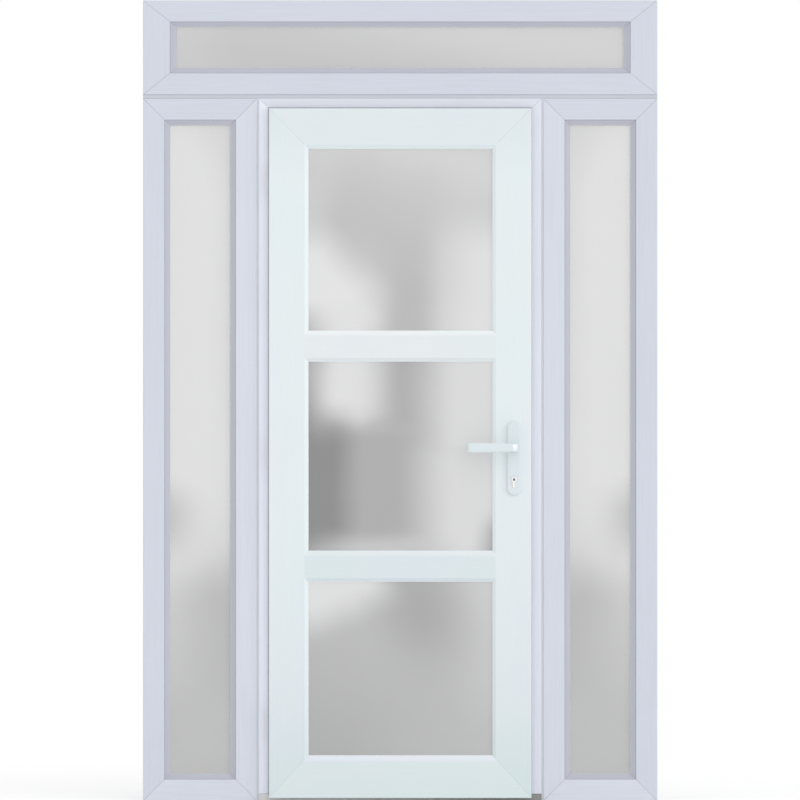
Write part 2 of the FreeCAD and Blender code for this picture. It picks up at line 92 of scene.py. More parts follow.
def reckon_vector(tree, operation, *values):
    """The same on places and colours."""
    return put(tree, "ShaderNodeVectorMath", dict(enumerate(values)), operation=operation).outputs[0]


def grain(tree, place, scale, detail=4.0):
    """Noise drawn out by a scale along each axis, as features to the metre."""
    stretched = put(tree, "ShaderNodeMapping", {"Vector": place, "Scale": scale}).outputs[0]
    noise = {"Vector": stretched, "Scale": 1.0, "Detail": detail, "Roughness": 0.6}
    return put(tree, "ShaderNodeTexNoise", noise).outputs["Fac"]


def blend_of(tree, first, second, share):
    """Two patterns laid over each other, the second by its share."""
    weighed = reckon(tree, "MULTIPLY", second, share)
    return reckon(tree, "MULTIPLY_ADD", first, 1.0 - share, weighed)


def ramp(tree, pattern, stops):
    """A run of colours along a pattern."""
    node = put(tree, "ShaderNodeValToRGB", {"Fac": pattern})
    elements = node.color_ramp.elements
    for element, (position, colour) in zip(elements, (stops[0], stops[-1])):
        element.position = position
        element.color = colour
    for position, colour in stops[1:-1]:
        elements.new(position).color = colour
    return node.outputs["Color"]


def between(tree, value, start, end, low, high, **settings):
    """A value's way from start to end, brought to the way from low to high."""
    limits = {"Value": value, "From Min": start, "From Max": end, "To Min": low, "To Max": high}
    return put(tree, "ShaderNodeMapRange", limits, **settings).outputs["Result"]


def spread(tree, pattern, low, high):
    """Noise, which lies mostly from 0.3 to 0.7, brought between two values."""
    return between(tree, pattern, 0.3, 0.7, low, high)


def pressed(tree, pattern, strength, depth):
    """A pattern pressed into the surface: strength is a share, depth is in metres."""
    bumps = {"Height": pattern, "Strength": strength, "Distance": depth}
    return put(tree, "ShaderNodeBump", bumps).outputs["Normal"]


def foil(name, colour, lines, roughness):
    """Grained foil on a profile: lines is the grain's fineness along x, y and z."""
    finish, tree, shader, place = new_finish(name)
    cloud_share = 0.35
    fibres = grain(tree, place, lines)
    clouds = grain(tree, place, (2.6, 2.6, 2.6), detail=2.0)
    mottle = blend_of(tree, fibres, clouds, cloud_share)
    stops = [(0.36, shade(colour, 0.965)), (0.5, colour), (0.64, shade(colour, 1.03))]
    wire(tree, shader, {
        "Base Color": ramp(tree, mottle, stops),
        "Roughness": spread(tree, fibres, roughness - 0.05, roughness + 0.05),
        "Normal": pressed(tree, fibres, strength=0.12, depth=0.0004),
        "Specular IOR Level": 0.35,
    })
    return finish


def dress(finish, *names):
    """Gives CAD nodes their finish."""
    for name in names:
        slots = nodes[name].data.materials
        slots.clear()
        slots.append(finish)


upright_lines = (330.0, 330.0, 7.0)
level_lines = (7.0, 330.0, 330.0)
foil_roughness = 0.45
frame_lilac = screen_colour(211, 216, 228)
# Painted light: the sills and the inner jambs, the left inner jamb most, are lighter than the frame's
# foil, to cancel the shade near the floor and beside the leaf.
sill_lit_lilac = screen_colour(218, 222, 232)
inner_lit_lilacs = (("left", screen_colour(218, 222, 232)), ("right", screen_colour(216, 220, 230)))
frame_foil_upright = foil("frame_foil_upright", frame_lilac, upright_lines, foil_roughness)
frame_foil_level = foil("frame_foil_level", frame_lilac, level_lines, foil_roughness)
frame_foil_sill_lit = foil("frame_foil_sill_lit", sill_lit_lilac, level_lines, foil_roughness)
dress(frame_foil_level, "transom_head", "transom_sill")
dress(frame_foil_upright, "transom_left_jamb", "transom_right_jamb")
for side, inner_lit_lilac in inner_lit_lilacs:
    frame_foil_inner_lit = foil(f"frame_foil_inner_lit_{side}", inner_lit_lilac, upright_lines, foil_roughness)
    dress(frame_foil_level, f"{side}_sidelight_head")
    dress(frame_foil_sill_lit, f"{side}_sidelight_sill")
    dress(frame_foil_upright, f"{side}_sidelight_outer_jamb")
    dress(frame_foil_inner_lit, f"{side}_sidelight_inner_jamb")


# Weld seams of those frames. The welding bead at each corner is scraped back to a fine line, which
# lies in the groove along the mitre, at the front and at the back.
frame_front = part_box("transom_head")[0][1]
frame_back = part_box("transom_head")[1][1]
seam_width = 0.0009
seam_depth = 0.00045
seam_thickness = 0.0004
seam_margin = 0.03
seam_bead_margin = 0.02
back_reach = (seam_margin, 1.0 - seam_margin)
lights = (
    ("transom", "left_jamb", "right_jamb"),
    ("left_sidelight", "outer_jamb", "inner_jamb"),
    ("right_sidelight", "inner_jamb", "outer_jamb"),
)


def light_plan(light, left_jamb, right_jamb):
    """A fixed light's outer rectangle and that of its sightline, as low and high corners in x and z."""
    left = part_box(f"{light}_{left_jamb}")
    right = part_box(f"{light}_{right_jamb}")
    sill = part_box(f"{light}_sill")
    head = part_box(f"{light}_head")
    outer = ((left[0][0], sill[0][2]), (right[1][0], head[1][2]))
    sight = ((left[1][0], sill[1][2]), (right[0][0], head[0][2]))
    return outer, sight


def apply_modifier(piece, kind, **settings):
    """Adds a modifier to the active piece, sets it and applies it."""
    bpy.ops.object.modifier_add(type=kind)
    modifier = piece.modifiers[-1]
    for setting, value in settings.items():
        setattr(modifier, setting, value)
    bpy.ops.object.modifier_apply(modifier=modifier.name)


def weld_seam(start, end, face, sense):
    """A scraped seam on a face from start to end, in x and z; sense is -1 at the front."""
    run = math.hypot(end[0] - start[0], end[1] - start[1])
    lean = math.atan2(start[1] - end[1], end[0] - start[0])
    bpy.ops.object.select_all(action="DESELECT")
    bpy.ops.mesh.primitive_plane_add(size=1.0)
    seam = bpy.context.object
    seam.scale = (run, seam_width, 1.0)
    bpy.ops.object.transform_apply(location=False, rotation=False, scale=True)
    apply_modifier(seam, "SOLIDIFY", thickness=seam_thickness)
    apply_modifier(seam, "BEVEL", width=seam_thickness / 4)
    seam.rotation_euler = (-sense * math.pi / 2, lean, 0.0)
    seam.location = ((start[0] + end[0]) / 2, face - sense * seam_depth, (start[1] + end[1]) / 2)
    bpy.ops.object.transform_apply(location=True, rotation=True, scale=True)
    return seam


def corner_seams(outer, inner, reach, face, sense, foot=True):
    """Seams along the mitres from an outer rectangle to an inner one, in x and z.

    reach is the shares of a mitre where its seam starts and ends. Without a foot, only the upper
    corners are welded.
    """
    levels = (1, 0) if foot else (1,)
    seams = []
    for level in levels:
        for side in (0, 1):
            corner = (outer[side][0], outer[level][1])
            run = (inner[side][0] - corner[0], inner[level][1] - corner[1])
            start, end = [(corner[0] + run[0] * share, corner[1] + run[1] * share) for share in reach]
            seams.append(weld_seam(start, end, face, sense))
    return seams


def joined(name, pieces, finish, body):
    """Like pieces made one, riding on a body."""
    bpy.ops.object.select_all(action="DESELECT")
    for piece in pieces:
        piece.select_set(True)
    bpy.context.view_layer.objects.active = pieces[0]
    if len(pieces) > 1:
        bpy.ops.object.join()
    whole = bpy.context.object
    whole.name = name
    whole.data.name = name
    whole.data.materials.clear()
    whole.data.materials.append(finish)
    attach(whole, body)
    return whole


def seam_finish(name, colour):
    """Scraped plastic: matt, and a little darker than the foil beside it."""
    finish, tree, shader, place = new_finish(name)
    scrapes = grain(tree, place, (700.0, 700.0, 700.0), detail=2.0)
    stops = [(0.35, shade(colour, 0.86)), (0.65, colour)]
    wire(tree, shader, {
        "Base Color": ramp(tree, scrapes, stops),
        "Roughness": spread(tree, scrapes, 0.6, 0.75),
        "Specular IOR Level": 0.25,
    })
    return finish


frame_seam = seam_finish("scraped_weld_lilac", screen_colour(166, 170, 182))
for light, left_jamb, right_jamb in lights:
    outer, sight = light_plan(light, left_jamb, right_jamb)
    bead_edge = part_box(f"{light}_beads")[0][0]
    bead_share = (bead_edge - outer[0][0]) / (sight[0][0] - outer[0][0])
    front_reach = (seam_margin, bead_share - seam_bead_margin)
    seams = corner_seams(outer, sight, front_reach, frame_front, -1)
    seams += corner_seams(outer, sight, back_reach, frame_back, 1)
    joined(f"{light}_weld_seams", seams, frame_seam, "frame")


# Glazing beads of the fixed lights: a stepped bead of the same plastic in a darker lilac grey, cut
# to length with mitred ends and snapped in between the frame and the glass.
def moulded(name, colour, roughness, mottle=0.02, coat=0.0):
    """Smooth moulded plastic or paint with a faint orange-peel skin, under a clear coat or none."""
    finish, tree, shader, place = new_finish(name)
    cloud_share = 0.6
    skin = grain(tree, place, (420.0, 420.0, 420.0), detail=3.0)
    clouds = grain(tree, place, (5.0, 5.0, 5.0), detail=2.0)
    stops = [(0.35, shade(colour, 1.0 - mottle)), (0.65, shade(colour, 1.0 + mottle))]
    wire(tree, shader, {
        "Base Color": ramp(tree, blend_of(tree, skin, clouds, cloud_share), stops),
        "Roughness": spread(tree, skin, roughness - 0.04, roughness + 0.04),
        "Normal": pressed(tree, skin, strength=0.03, depth=0.0001),
        "Specular IOR Level": 0.4,
        "Coat Weight": coat,
        "Coat Roughness": 0.14,
    })
    return finish


bead_finish = moulded("bead_lilac_grey", screen_colour(190, 192, 203), roughness=0.4)
dress(bead_finish, "transom_beads", "left_sidelight_beads", "right_sidelight_beads")


# Glass of the fixed lights: sealed units of etched glass, matt and milky. Its soft light and dark
# drifts are painted into its colour: painted light and shade of what shows blurred through it. A pale
# grey rubber lip seals each face along the sightline.
def fading(tree, distance, half, blur):
    """Whole inside a block's half size and nothing beyond it, with an edge as soft as its blur."""
    edge = (half - blur, half + blur)
    return between(tree, distance, *edge, 1.0, 0.0, interpolation_type="SMOOTHSTEP")


def etched_glass(name, base, painted_drifts, mirrored=False):
    """Etched glass with painted drifts of light and dark, each a blurred block: painted light and shade.

    A drift is its centre, its half size and the reach of its blur in x and z, how far it leans down
    to the right in degrees, and its tone. Mirrored glass has the same drifts on both sides.
    """
    finish, tree, shader, place = new_finish(name)
    if mirrored:
        place = reckon_vector(tree, "ABSOLUTE", place)
    ripple_reach = (0.04, 0.04, 0.04)
    noise = {"Vector": place, "Scale": 5.0, "Detail": 2.0}
    ripple = put(tree, "ShaderNodeTexNoise", noise).outputs["Color"]
    centred = reckon_vector(tree, "SUBTRACT", ripple, (0.5, 0.5, 0.5))
    blurred = reckon_vector(tree, "MULTIPLY_ADD", centred, ripple_reach, place)
    tone = base
    for centre, half, blur, lean, painted_drift_tone in painted_drifts:
        lie = {
            "Vector": blurred,
            "Location": (centre[0], 0.0, centre[1]),
            "Rotation": (0.0, math.radians(lean), 0.0),
        }
        local = put(tree, "ShaderNodeMapping", lie, vector_type="TEXTURE").outputs[0]
        away = reckon_vector(tree, "ABSOLUTE", local)
        axes = put(tree, "ShaderNodeSeparateXYZ", {0: away}).outputs
        across = fading(tree, axes["X"], half[0], blur[0])
        upward = fading(tree, axes["Z"], half[1], blur[1])
        cover = reckon(tree, "MULTIPLY", across, upward)
        layers = {"Fac": cover, "Color1": tone, "Color2": painted_drift_tone}
        tone = put(tree, "ShaderNodeMixRGB", layers).outputs["Color"]
    etching = grain(tree, place, (900.0, 900.0, 900.0), detail=2.0)
    wire(tree, shader, {
        "Base Color": tone,
        "Roughness": spread(tree, etching, 0.42, 0.58),
        "Normal": pressed(tree, etching, strength=0.15, depth=0.0002),
        "Transmission Weight": 0.08,
        "Specular IOR Level": 0.35,
        "IOR": 1.5,
    })
    return finish


def milky(tone):
    """A neutral tone of the glass as it looks in place, lifted for the light that the glass keeps."""
    kept = 7
    lifted = tone + kept
    return screen_colour(lifted, lifted, lifted)


sidelight_painted_drifts = [
    ((0.52, 1.99), (0.27, 0.06), (0.02, 0.10), -60, milky(212)),
    ((0.49, 1.50), (0.02, 0.53), (0.06, 0.23), 0, milky(218)),
    ((0.67, 0.81), (0.05, 0.08), (0.08, 0.07), -10, milky(196)),
    ((0.42, 0.21), (0.55, 0.41), (0.03, 0.25), 40, milky(194)),
    ((0.48, 0.49), (0.10, 0.18), (0.14, 0.08), 25, milky(187)),
]
transom_painted_drifts = [
    ((-0.60, 2.29), (0.09, 0.07), (0.06, 0.16), -60, milky(218)),
    ((-0.17, 2.11), (0.44, 0.08), (0.16, 0.09), 10, milky(198)),
    ((0.27, 2.26), (0.52, 0.08), (0.10, 0.06), 10, milky(212)),
]
sidelight_glass = etched_glass("etched_glass_sidelight", milky(226), sidelight_painted_drifts, mirrored=True)
dress(sidelight_glass, "left_sidelight_glass", "right_sidelight_glass")
dress(etched_glass("etched_glass_transom", milky(207), transom_painted_drifts), "transom_glass")


def rubber(name, colour):
    """Dull soft rubber with a little dust in it."""
    finish, tree, shader, place = new_finish(name)
    dust = grain(tree, place, (240.0, 240.0, 240.0), detail=3.0)
    stops = [(0.35, shade(colour, 0.9)), (0.65, shade(colour, 1.1))]
    wire(tree, shader, {
        "Base Color": ramp(tree, dust, stops),
        "Roughness": spread(tree, dust, 0.65, 0.8),
        "Normal": pressed(tree, dust, strength=0.1, depth=0.0002),
        "Specular IOR Level": 0.25,
    })
    return finish


def rubber_ring(low, high, lip, height, seat, sense, foot=None, shift=(0.0, 0.0)):
    """A rubber lip round a rectangle in x and z, on a face at seat; sense is -1 towards the front.

    With a foot it is open at the bottom and stands on that level. shift moves its opening to the
    right and up, which leaves the lip wider on one side than on the other.
    """
    ease_share = 0.3
    turn = (-sense * math.pi / 2, 0.0, 0.0)
    middle = ((low[0] + high[0]) / 2, seat, (low[1] + high[1]) / 2)
    bpy.ops.object.select_all(action="DESELECT")
    bpy.ops.mesh.primitive_plane_add(size=1.0, location=middle, rotation=turn)
    ring = bpy.context.object
    ring.scale = (high[0] - low[0], high[1] - low[1], 1.0)
    bpy.ops.object.transform_apply(location=True, rotation=True, scale=True)
    bpy.ops.object.mode_set(mode="EDIT")
    bpy.ops.mesh.select_all(action="SELECT")
    bpy.ops.mesh.inset(thickness=lip)
    bpy.ops.transform.translate(value=(shift[0], 0.0, shift[1]))
    bpy.ops.mesh.delete(type="FACE")
    if foot is not None:
        bpy.ops.mesh.select_all(action="SELECT")
        bpy.ops.mesh.bisect(plane_co=(0.0, seat, foot), plane_no=(0.0, 0.0, 1.0), clear_inner=True)
    bpy.ops.object.mode_set(mode="OBJECT")
    apply_modifier(ring, "SOLIDIFY", thickness=height, offset=1.0)
    apply_modifier(ring, "BEVEL", width=min(lip - abs(shift[0]), height) * ease_share, segments=2)
    return ring


gasket_finish = rubber("gasket_grey", screen_colour(226, 227, 229))
gasket_lip = 0.0013
gasket_height = 0.0035
for light, left_jamb, right_jamb in lights:
    sight = light_plan(light, left_jamb, right_jamb)[1]
    low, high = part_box(f"{light}_glass")
    rings = [
        rubber_ring(sight[0], sight[1], gasket_lip, gasket_height, low[1], -1),
        rubber_ring(sight[0], sight[1], gasket_lip, gasket_height, high[1], 1),
    ]
    joined(f"{light}_gaskets", rings, gasket_finish, "frame")


# Coupling strips between the units: drawn aluminium, painted grey, set a little back from the
# faces of the frames that they tie together. The strip under the transom is a darker grey and the
# upright strips a lighter one: painted shade and painted light on the one grey paint.
coupler_roughness = 0.5
level_shaded_grey = screen_colour(203, 207, 215)
upright_lit_grey = screen_colour(223, 226, 234)
dress(foil("coupler_paint_level_shaded", level_shaded_grey, level_lines, coupler_roughness), "transom_coupler")
dress(foil("coupler_paint_upright_lit", upright_lit_grey, upright_lines, coupler_roughness), "sidelight_couplers")


# Door frame: two jambs and a head in a slightly lighter foil, welded at the upper corners and screwed
# to the threshold. Each bar has its own tone as painted light, the hinge jamb lightest against the
# leaf's shadow on it. Rubber seals lie on its face under the leaf's overlap, and on its stop.
door_frame_lit_foils = (
    ("hinge_jamb", screen_colour(238, 241, 251), upright_lines),
    ("lock_jamb", screen_colour(228, 231, 241), upright_lines),
    ("door_head", screen_colour(224, 228, 237), level_lines),
)
for bar, bar_lit_lilac, lines in door_frame_lit_foils:
    dress(foil(f"{bar}_foil", bar_lit_lilac, lines, foil_roughness), bar)
hinge_jamb_low, hinge_jamb_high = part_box("hinge_jamb")
lock_jamb_low, lock_jamb_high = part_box("lock_jamb")
door_head_low, door_head_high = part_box("door_head")
threshold_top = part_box("threshold")[1][2]
door_outer = ((hinge_jamb_low[0], threshold_top), (lock_jamb_high[0], door_head_high[2]))
door_inner = ((hinge_jamb_high[0], threshold_top), (lock_jamb_low[0], door_head_low[2]))
jamb_front_reach = (0.04, 0.7)
door_seams = corner_seams(door_outer, door_inner, jamb_front_reach, frame_front, -1, foot=False)
door_seams += corner_seams(door_outer, door_inner, back_reach, frame_back, 1, foot=False)
door_frame_seam = seam_finish("scraped_weld_door_frame", screen_colour(194, 198, 210))
joined("door_frame_weld_seams", door_seams, door_frame_seam, "frame")


def door_seal(name, finish, left, right, top, lip, height, seat):
    """A seal along jambs and head, its lip inwards from its outer edges, open at the threshold."""
    low = (left, threshold_top - lip)
    ring = rubber_ring(low, (right, top), lip, height, seat, -1, foot=threshold_top)
    joined(name, [ring], finish, "frame")


# The overlap seal shows as a grey line round the leaf, wider on the hinge side and at the top: a real
# seal, its showing widths set as a painted shadow of the gap round the leaf.
overlap_shadow_show_left = 0.0026
overlap_shadow_show_right = 0.0011
overlap_shadow_show_top = 0.0033
overlap_lip = 0.006
overlap_height = 0.004
door_seal(
    "overlap_seal",
    rubber("overlap_seal_shadow_grey", screen_colour(176, 178, 185)),
    left=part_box("hinge_stile")[0][0] - overlap_shadow_show_left,
    right=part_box("lock_stile")[1][0] + overlap_shadow_show_right,
    top=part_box("top_rail")[1][2] + overlap_shadow_show_top,
    lip=overlap_lip,
    height=overlap_height,
    seat=frame_front,
)
stop_lip = 0.0045
stop_height = 0.0042
stop_edge = 0.001
stop_gap = 0.005
door_seal(
    "stop_seal",
    rubber("stop_seal_charcoal", screen_colour(92, 95, 100)),
    left=door_inner[0][0] - stop_edge - stop_lip,
    right=door_inner[1][0] + stop_edge + stop_lip,
    top=door_inner[1][1] + stop_edge + stop_lip,
    lip=stop_lip,
    height=stop_height,
    seat=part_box("hinge_stile")[1][1] + stop_gap,
)


# Threshold: a low extruded aluminium sill with a rounded nose and a ribbed tread, left as it was
# drawn, with fine lines along its length and a little dirt in the ribs. Its tone runs from lighter at
# the hinge side to darker at the lock side: a painted reflection.
def drawn_aluminium(name, colour, lines, roughness):
    """Bare drawn aluminium, painted lighter towards the hinges and darker towards the lock: a painted
    reflection.
    """
    finish, tree, shader, place = new_finish(name)
    dirt_share = 0.4
    reflection_half = 0.36
    brightest = 1.3
    darkest = 0.6
    drawing = grain(tree, place, lines, detail=6.0)
    dirt = grain(tree, place, (30.0, 30.0, 30.0), detail=4.0)
    stops = [(0.3, shade(colour, 0.9)), (0.55, colour), (0.72, shade(colour, 1.06))]
    metal = ramp(tree, blend_of(tree, drawing, dirt, dirt_share), stops)
    along = put(tree, "ShaderNodeSeparateXYZ", {0: place}).outputs["X"]
    # Painted reflection: the metal is lightened towards the hinge side and darkened towards the lock
    # side.
    painted_reflection = between(tree, along, -reflection_half, reflection_half, brightest, darkest)
    reflected_metal = put(tree, "ShaderNodeVectorMath", {0: metal, "Scale": painted_reflection}, operation="SCALE")
    wire(tree, shader, {
        "Base Color": reflected_metal.outputs[0],
        "Roughness": spread(tree, drawing, roughness - 0.08, roughness + 0.08),
        "Normal": pressed(tree, drawing, strength=0.18, depth=0.0003),
        "Metallic": 0.75,
    })
    return finish


tread_lines = (9.0, 600.0, 600.0)
tread_grey = screen_colour(190, 190, 189)
dress(drawn_aluminium("threshold_drawn", tread_grey, tread_lines, roughness=0.42), "threshold")


# Leaf: stiles, top and bottom rail and two mid rails of a heavier white profile, welded at the
# corners. Its foil is smoother and whiter than the frame's, with a faint cold cast that drifts. It is
# darker towards the foot and the head of the stiles, and each rail is painted lighter over its bevel
# beside a pane: a painted highlight.
def leaf_foil(name, lines, tints_and_highlights):
    """White foil of the leaf, cast cold in drifts, with colours by height in metres: its tone, and on the
    rails a painted highlight over the bevel.
    """
    finish, tree, shader, place = new_finish(name)
    fibres = grain(tree, place, lines)
    drift = grain(tree, place, (3.5, 3.5, 2.0), detail=2.0)
    cast = ramp(tree, drift, [
        (0.38, (0.988, 0.99, 1.0, 1.0)),
        (0.5, (1.0, 1.0, 0.992, 1.0)),
        (0.62, (0.982, 1.0, 0.99, 1.0)),
    ])
    height = put(tree, "ShaderNodeSeparateXYZ", {0: place}).outputs["Z"]
    tallest = tints_and_highlights[-1][0]
    rise = reckon(tree, "DIVIDE", height, tallest)
    tint_and_highlight = ramp(tree, rise, [(level / tallest, screen_colour(*colour)) for level, colour in tints_and_highlights])
    cool = reckon_vector(tree, "MULTIPLY", tint_and_highlight, cast)
    fibre_share = spread(tree, fibres, 0.99, 1.01)
    toned = put(tree, "ShaderNodeVectorMath", {0: cool, "Scale": fibre_share}, operation="SCALE")
    wire(tree, shader, {
        "Base Color": toned.outputs[0],
        "Roughness": spread(tree, fibres, 0.32, 0.42),
        "Normal": pressed(tree, fibres, strength=0.08, depth=0.0003),
        "Specular IOR Level": 0.45,
    })
    return finish


stile_tints = [
    (0.1, (220, 231, 234)),
    (0.34, (227, 234, 239)),
    (0.9, (231, 239, 242)),
    (1.8, (231, 239, 242)),
    (2.0, (223, 232, 236)),
]
dress(leaf_foil("leaf_foil_stiles", upright_lines, stile_tints), "hinge_stile", "lock_stile")
# Painted highlight: on each rail the band over the bevelled lip beside a pane is lighter than the rest.
rail_tints_and_painted_highlights = (
    ("top_rail", [(1.896, (228, 239, 242)), (1.9, (227, 234, 238)), (2.003, (227, 234, 238))]),
    ("upper_mid_rail", [(1.344, (232, 237, 240)), (1.35, (240, 244, 247)), (1.36, (240, 244, 247))]),
    ("lower_mid_rail", [(0.706, (222, 232, 236)), (0.713, (232, 238, 241)), (0.724, (232, 238, 241))]),
    ("bottom_rail", [(0.112, (224, 234, 236)), (0.119, (233, 238, 245)), (0.132, (233, 238, 245))]),
)
for rail, tints_and_highlights in rail_tints_and_painted_highlights:
    dress(leaf_foil(f"leaf_foil_{rail}", level_lines, tints_and_highlights), rail)
hinge_stile_low, hinge_stile_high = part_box("hinge_stile")
lock_stile_low, lock_stile_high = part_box("lock_stile")
leaf_front = hinge_stile_low[1]
leaf_back = lock_stile_high[1]
pane_left = hinge_stile_high[0]
pane_right = lock_stile_low[0]
leaf_outer = ((hinge_stile_low[0], hinge_stile_low[2]), (lock_stile_high[0], lock_stile_high[2]))
leaf_inner = ((pane_left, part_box("bottom_rail")[1][2]), (pane_right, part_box("top_rail")[0][2]))
leaf_front_reach = (0.025, 0.9)
leaf_back_reach = (0.16, 0.85)
leaf_seams = corner_seams(leaf_outer, leaf_inner, leaf_front_reach, leaf_front, -1)
leaf_seams += corner_seams(leaf_outer, leaf_inner, leaf_back_reach, leaf_back, 1)
leaf_seam = seam_finish("scraped_weld_white", screen_colour(216, 224, 229))
joined("leaf_weld_seams", leaf_seams, leaf_seam, "leaf")


# Panes of the leaf: the same etched glass with painted drifts, thicker, held behind the leaf's bevelled
# lip by beads at the back. A pale rubber lip seals both faces. At the front it shows wider on the hinge
# side, as a painted highlight along that edge, and wider at the top.
# Painted light and shade: the tones and drifts of the leaf's panes are painted into the glass, as what
# shows blurred through it.
top_painted_drifts = [
    ((0.02, 1.89), (0.37, 0.07), (0.12, 0.08), 15, milky(213)),
    ((-0.07, 1.65), (0.16, 0.12), (0.06, 0.18), 20, milky(192)),
    ((0.28, 1.40), (0.14, 0.25), (0.09, 0.09), 5, milky(225)),
    ((0.02, 1.41), (0.06, 0.16), (0.05, 0.11), 0, milky(186)),
    ((-0.23, 1.48), (0.14, 0.11), (0.07, 0.07), 45, milky(229)),
    ((-0.18, 1.30), (0.09, 0.13), (0.07, 0.03), 5, milky(227)),
    ((-0.29, 1.34), (0.03, 0.06), (0.09, 0.06), 15, milky(154)),
]
middle_painted_drifts = [
    ((0.00, 1.26), (0.09, 0.21), (0.09, 0.06), 0, milky(176)),
    ((-0.17, 1.22), (0.10, 0.11), (0.08, 0.06), -5, milky(226)),
    ((-0.28, 1.12), (0.04, 0.37), (0.07, 0.05), 0, milky(148)),
    ((-0.08, 0.91), (0.15, 0.17), (0.09, 0.04), 0, milky(174)),
    ((-0.23, 0.90), (0.08, 0.20), (0.05, 0.08), 0, milky(141)),
    ((-0.05, 0.73), (0.17, 0.02), (0.08, 0.05), 0, milky(196)),
    ((0.28, 0.72), (0.03, 0.09), (0.06, 0.04), 10, milky(155)),
]
bottom_painted_drifts = [
    ((0.30, 0.52), (0.11, 0.31), (0.16, 0.15), -20, milky(209)),
    ((-0.28, 0.15), (0.24, 0.20), (0.16, 0.25), 25, milky(178)),
    ((0.06, 0.56), (0.10, 0.14), (0.10, 0.14), -25, milky(172)),
    ((-0.19, 0.63), (0.14, 0.09), (0.06, 0.07), -25, milky(226)),
]
pane_looks = (("top", 205, top_painted_drifts), ("middle", 220, middle_painted_drifts), ("bottom", 190, bottom_painted_drifts))
for pane, base, painted_drifts in pane_looks:
    dress(etched_glass(f"etched_glass_{pane}", milky(base), painted_drifts), f"{pane}_pane")
dress(moulded("leaf_bead_white", screen_colour(228, 234, 238), roughness=0.38), "leaf_beads")

pane_gasket = rubber("gasket_pale", screen_colour(240, 245, 247))
pane_gasket_height = 0.003
pane_front_lip = 0.0012
pane_back_lip = 0.0022
# Painted highlight: the front lip's opening is shifted away from the hinge side, so that the pale lip
# shows wider there as a bright line along the panes' lit edges.
pane_highlight_shift = 0.0009
panes = (
    ("bottom_pane", "bottom_rail", "lower_mid_rail", 0.0),
    ("middle_pane", "lower_mid_rail", "upper_mid_rail", -0.0003),
    ("top_pane", "upper_mid_rail", "top_rail", -0.0007),
)
pane_rings = []
for pane, rail_below, rail_above, drop in panes:
    low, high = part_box(pane)
    sight_low = (pane_left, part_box(rail_below)[1][2])
    sight_high = (pane_right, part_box(rail_above)[0][2])
    shift = (pane_highlight_shift, drop)
    pane_rings += [
        rubber_ring(sight_low, sight_high, pane_front_lip, pane_gasket_height, low[1], -1, shift=shift),
        rubber_ring(sight_low, sight_high, pane_back_lip, pane_gasket_height, high[1], 1),
    ]
joined("pane_gaskets", pane_rings, pane_gasket, "leaf")


# Hinges: three steel butt hinges behind the leaf's overlap, zinc plated, with countersunk screws
# through both plates.
def plated_steel(name, colour, roughness):
    """Plated steel with faint polishing marks."""
    finish, tree, shader, place = new_finish(name)
    marks = grain(tree, place, (500.0, 500.0, 60.0), detail=4.0)
    stops = [(0.35, shade(colour, 0.88)), (0.65, shade(colour, 1.06))]
    wire(tree, shader, {
        "Base Color": ramp(tree, marks, stops),
        "Roughness": spread(tree, marks, roughness - 0.07, roughness + 0.07),
        "Normal": pressed(tree, marks, strength=0.08, depth=0.0002),
        "Metallic": 0.9,
    })
    return finish


hinge_finish = plated_steel("hinge_zinc", screen_colour(188, 190, 194), roughness=0.35)
dress(hinge_finish, "hinge_brackets", "hinge_leaves", "hinge_pins")
screw_radius = 0.0034
screw_depth = 0.0012
screw_ease = 0.0004
recess_rim = 0.4 * screw_radius
recess_depth = 0.0009
facing_up = 0.99


def draw_out(x, y, z):
    """Draws what is picked out by that much."""
    bpy.ops.mesh.extrude_region_move(TRANSFORM_OT_translate={"value": (x, y, z)})


def screws(name, places, turn, finish, body):
    """Countersunk screw heads with a round recess: one is modelled, turned and copied to each place."""
    bpy.ops.object.select_all(action="DESELECT")
    bpy.ops.mesh.primitive_cylinder_add(vertices=24, radius=screw_radius, depth=screw_depth)
    pattern = bpy.context.object
    apply_modifier(pattern, "BEVEL", width=screw_ease, segments=2)
    bpy.ops.object.mode_set(mode="EDIT")
    bpy.ops.mesh.select_all(action="DESELECT")
    bpy.ops.object.mode_set(mode="OBJECT")
    for polygon in pattern.data.polygons:
        polygon.select = polygon.normal.z > facing_up
    bpy.ops.object.mode_set(mode="EDIT")
    bpy.ops.mesh.inset(thickness=recess_rim)
    draw_out(0.0, 0.0, -recess_depth)
    bpy.ops.object.mode_set(mode="OBJECT")
    pattern.rotation_euler = turn
    bpy.ops.object.transform_apply(location=True, rotation=True, scale=True)
    heads = []
    for place in places:
        bpy.ops.object.select_all(action="DESELECT")
        pattern.select_set(True)
        bpy.context.view_layer.objects.active = pattern
        bpy.ops.object.duplicate()
        head = bpy.context.object
        head.location = place
        bpy.ops.object.transform_apply(location=True, rotation=True, scale=True)
        heads.append(head)
    bpy.data.objects.remove(pattern)
    joined(name, heads, finish, body)


